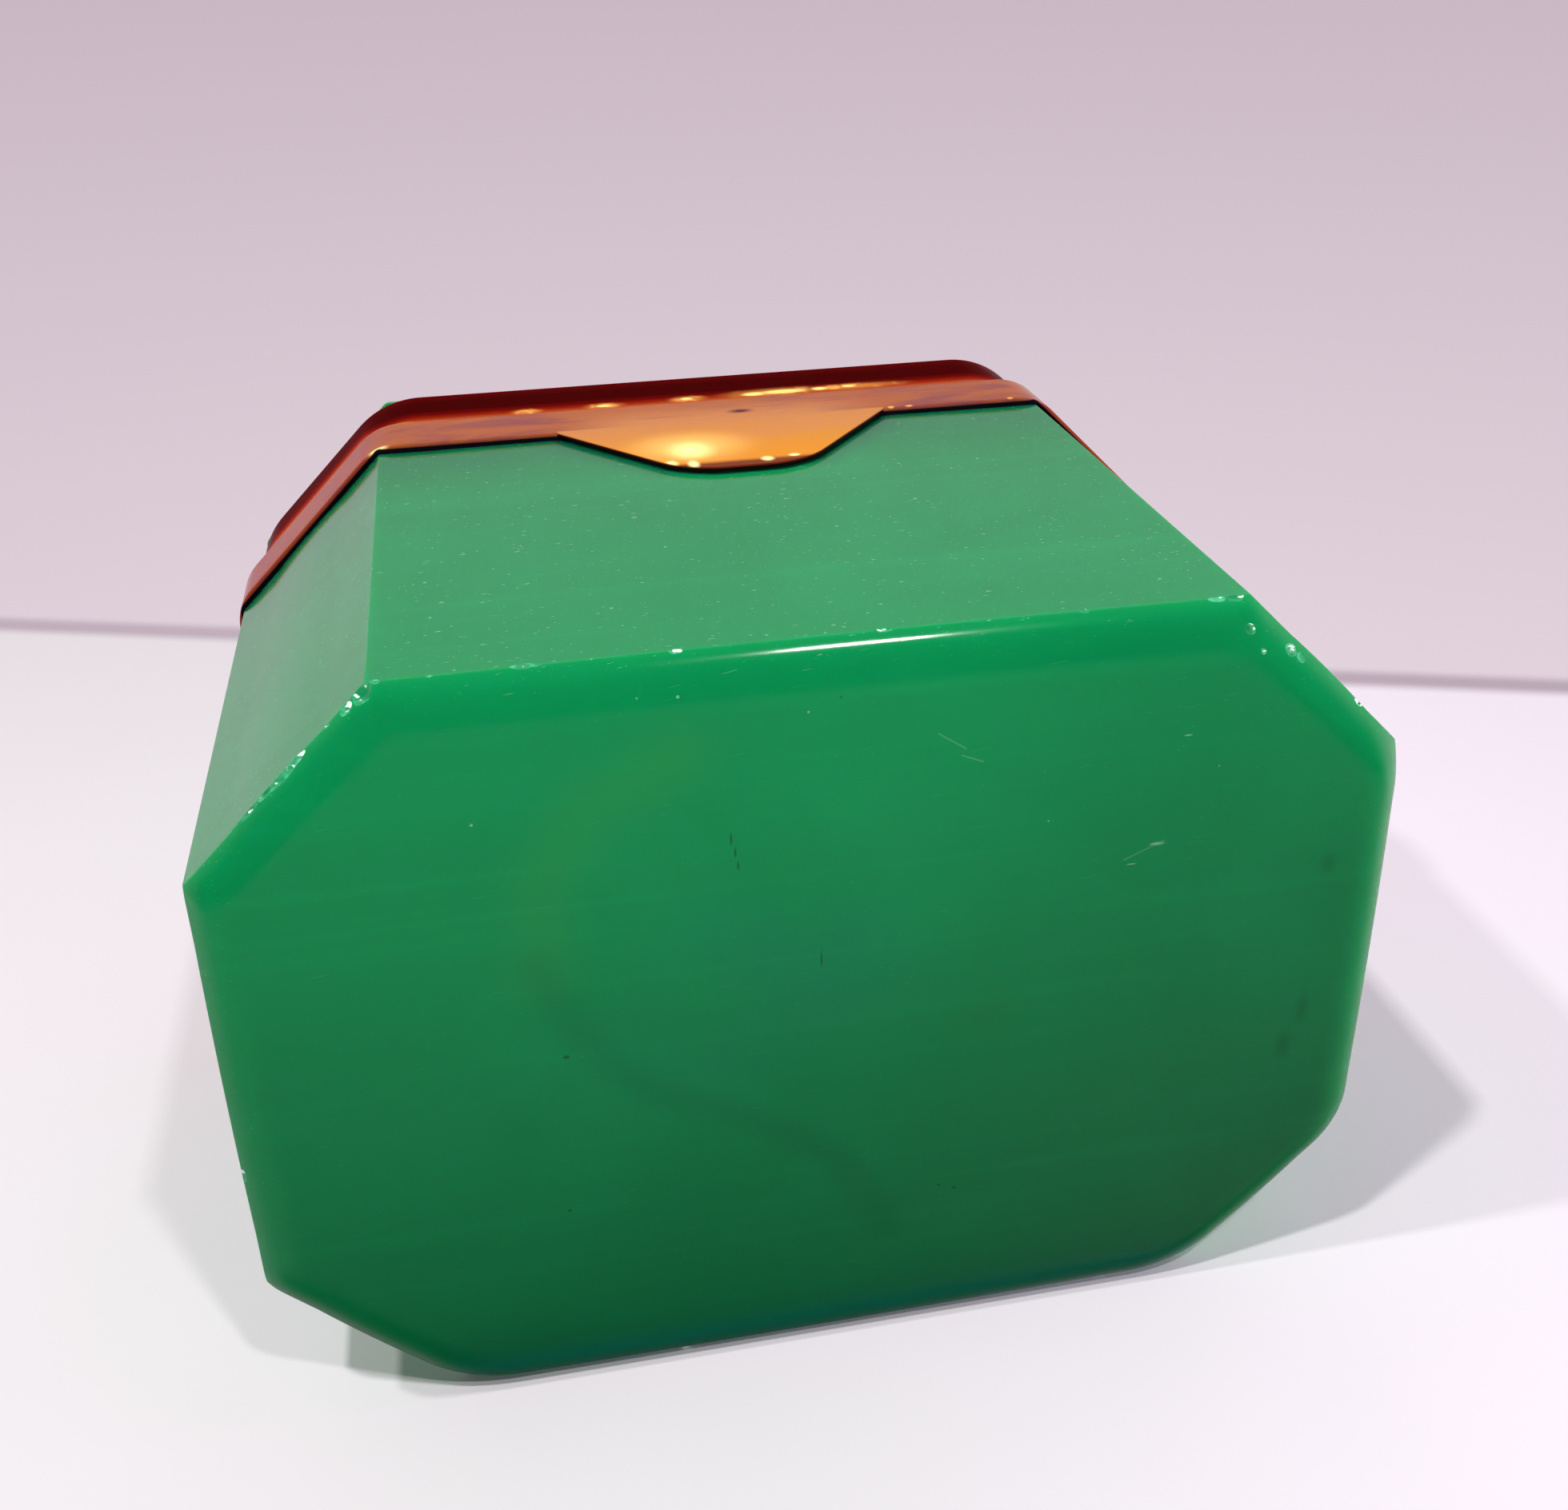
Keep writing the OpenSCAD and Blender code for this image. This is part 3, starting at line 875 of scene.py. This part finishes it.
def make_stage():
    """A tabletop that the jar lies on with its back down, and a floor for when it is seen upright."""
    slope = (rim_high.y - HALF_D) / (rim_low.z - CUSHION_H)
    near, side = -0.5, 0.9
    clearance, floor_z = 0.02 * MM, -0.15 * MM

    def table_y(z):
        """The lying jar rests on its lower edge and its rim, so the table leans from one to the other."""
        return HALF_D + (z - CUSHION_H) * slope + clearance

    def far(x):
        """The slanting far edge of the tabletop, with room for it to fade out."""
        return FAR_EDGE + 12 * MM - FAR_SLANT * x

    table = stage_plane("table", [
        (-side, table_y(near), near), (side, table_y(near), near), (side, table_y(far(side)), far(side)),
        (-side, table_y(far(-side)), far(-side))], stage_material("table_white", fades=True))
    floor = stage_plane("floor", [
        (-side, -side, floor_z), (side, -side, floor_z), (side, side, floor_z), (-side, side, floor_z)],
        stage_material("floor_white"))
    return table, floor


# ---------------------------------------------------------------- light and camera
def make_world():
    """A pale lavender-grey room, dark under the table and behind the camera."""
    world = bpy.data.worlds.new("pale_room")
    world.use_nodes = True
    bpy.context.scene.world = world
    n = Nodes(world.node_tree, "Generated")
    x, y, z = (n.part(axis) for axis in "XYZ")

    def across(stops):
        """Colours at these places along y, from -1 to 1."""
        return n.ramp(n.share(y, -1, 1), [((place + 1) / 2, colour) for place, colour in stops])

    ahead = across([(-1, (0.44, 0.41, 0.43)), (-0.3, (0.43, 0.38, 0.42)), (0.05, (0.58, 0.475, 0.545)),
                    (0.42, (0.76, 0.65, 0.72)), (0.60, (0.33, 0.31, 0.33)), (1, (0.33, 0.32, 0.33))])
    behind = across([(-1, (0.02, 0.02, 0.02)), (0.33, (0.02, 0.02, 0.02)), (0.43, (0.22, 0.21, 0.22)),
                     (0.70, (0.24, 0.23, 0.24)), (0.78, (0.05, 0.05, 0.05)), (1, (0.05, 0.05, 0.05))])
    below = n.times(n.between(y, 0.55, 0.80), n.between(n.maths("ABSOLUTE", x), 0.45, 0.10))
    background = n.tree.nodes["Background"]
    n.link(n.mix(n.between(z, -0.5, 0.1), behind, ahead), background.inputs["Color"])
    n.link(n.maths("SUBTRACT", 1.0, n.times(below, 0.82)), background.inputs["Strength"])


def area_light(name, place, aim, size, power, lit):
    """A lamp that faces its aim and lights only the objects in the collection lit."""
    light = bpy.data.lights.new(name, "AREA")
    light.shape = "RECTANGLE"
    light.size, light.size_y = size
    light.energy = power
    obj = bpy.data.objects.new(name, light)
    obj.location = place
    obj.rotation_euler = (Vector(aim) - Vector(place)).to_track_quat("-Z", "Y").to_euler()
    obj.light_linking.receiver_collection = lit
    bpy.context.scene.collection.objects.link(obj)
    return obj


def lit_only(name, objects):
    """A collection for the lights that light these objects only."""
    only = bpy.data.collections.new(name)
    for obj in objects:
        only.objects.link(obj)
    return only


def make_lights(pieces, stage):
    """Lamps that throw the shadows on the table, and soft lamps on the object alone."""
    centre, base, side = Vector((0, 0, 0.03)), Vector((0, -0.02, 0)), Vector((0, 0.03, 0.01))
    table_only, pieces_only = lit_only("lit_stage", stage), lit_only("lit_pieces", pieces)
    key_size = (0.03, 0.03)
    for name, toward, power in (
            ("key_left", (-0.378, -1, -0.297), 2.1),
            ("key_right", (0.209, -1, -0.60), 1.2),
            ("low_left", (-0.708, -1, -0.08), 1.3)):
        area_light(name, centre + Vector(toward).normalized() * 0.7, centre, key_size, power, table_only)
    arris = Vector((0.0, -0.03, 0))
    streak = area_light("window_strip", arris + Vector((0.205, -0.80, -0.52)) * 0.8, arris, (0.075, 0.055), 1.1,
                        pieces_only)
    streak.visible_diffuse = False
    for name, place, aim, size, power in (
            ("wall_fill", (-0.10, -0.60, 0.24), centre, (0.30, 0.20), 4.4),
            ("base_fill", (-0.005, -0.055, -0.06), base, (0.18, 0.03), 0.103),
            ("right_fill", (0.35, 0.03, 0.0), side, (0.2, 0.02), 1.2),
            ("left_fill", (-0.35, 0.03, 0.0), side, (0.2, 0.02), 0.35),
            ("back_fill", (0.10, 0.60, 0.30), centre, (0.4, 0.3), 2.0)):
        fill = area_light(name, place, aim, size, power, pieces_only)
        fill.visible_glossy = fill.visible_camera = False


def make_camera():
    """Looks up at the cushioned underside from in front of and below the jar, as it lies on its back."""
    data = bpy.data.cameras.new("camera")
    camera = bpy.data.objects.new("camera", data)
    bpy.context.scene.collection.objects.link(camera)
    # The place is in hundredths of the jar's width, from the middle of its lower edge's plane
    place = Vector((-24.71, -89.35, -115.12)) * (2 * HALF_W / 100) + Vector((0, 0, CUSHION_H))
    right, up = Vector((0.9801, 0.0162, -0.1980)), Vector((0.1035, -0.8922, 0.4396))
    axes = Matrix((right, up, right.cross(up))).transposed().to_4x4()
    camera.matrix_world = Matrix.Translation(place) @ axes
    data.sensor_width, data.lens = 36, 38.90204
    data.shift_x, data.shift_y = -0.0089286, -0.0308673
    data.clip_start, data.clip_end = 0.005, 20
    bpy.context.scene.camera = camera


# ---------------------------------------------------------------- assembly
jar = make_jar()
jar.data.materials.append(jade_material("jade_resin", jar=True))
jar.data.materials.append(chip_material())
cut_chips(jar)
rim = make_rim()
rim.data.materials.append(amber_material("amber_rim", rim_colour, 0.06, 0.10))
crown = make_crown()
crown.data.materials.append(amber_material("amber_crown", crown_colour, 0.0005, 0.15, inner=0.25))
panel = make_panel()
panel.data.materials.append(jade_material("jade_panel"))
tab = make_tab()
tab.data.materials.append(amber_material("amber_tab_sheet", tab_colour, 0.03, 0.06))
for piece in (jar, rim, crown, panel, tab):
    crisp(piece)

for piece, node, body, slot in (
        (jar, "jar_body", "jar", "jade"), (rim, "lid_rim", "lid", "amber"),
        (crown, "lid_crown", "lid", "amber"), (panel, "lid_panel", "lid", "jade_panel"),
        (tab, "thumb_tab", "lid", "amber_tab")):
    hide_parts(node)
    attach(piece, body)

stage = make_stage()
make_world()
make_lights((jar, rim, crown, panel, tab), stage)
make_camera()
bpy.context.scene.view_settings.view_transform = "Standard"
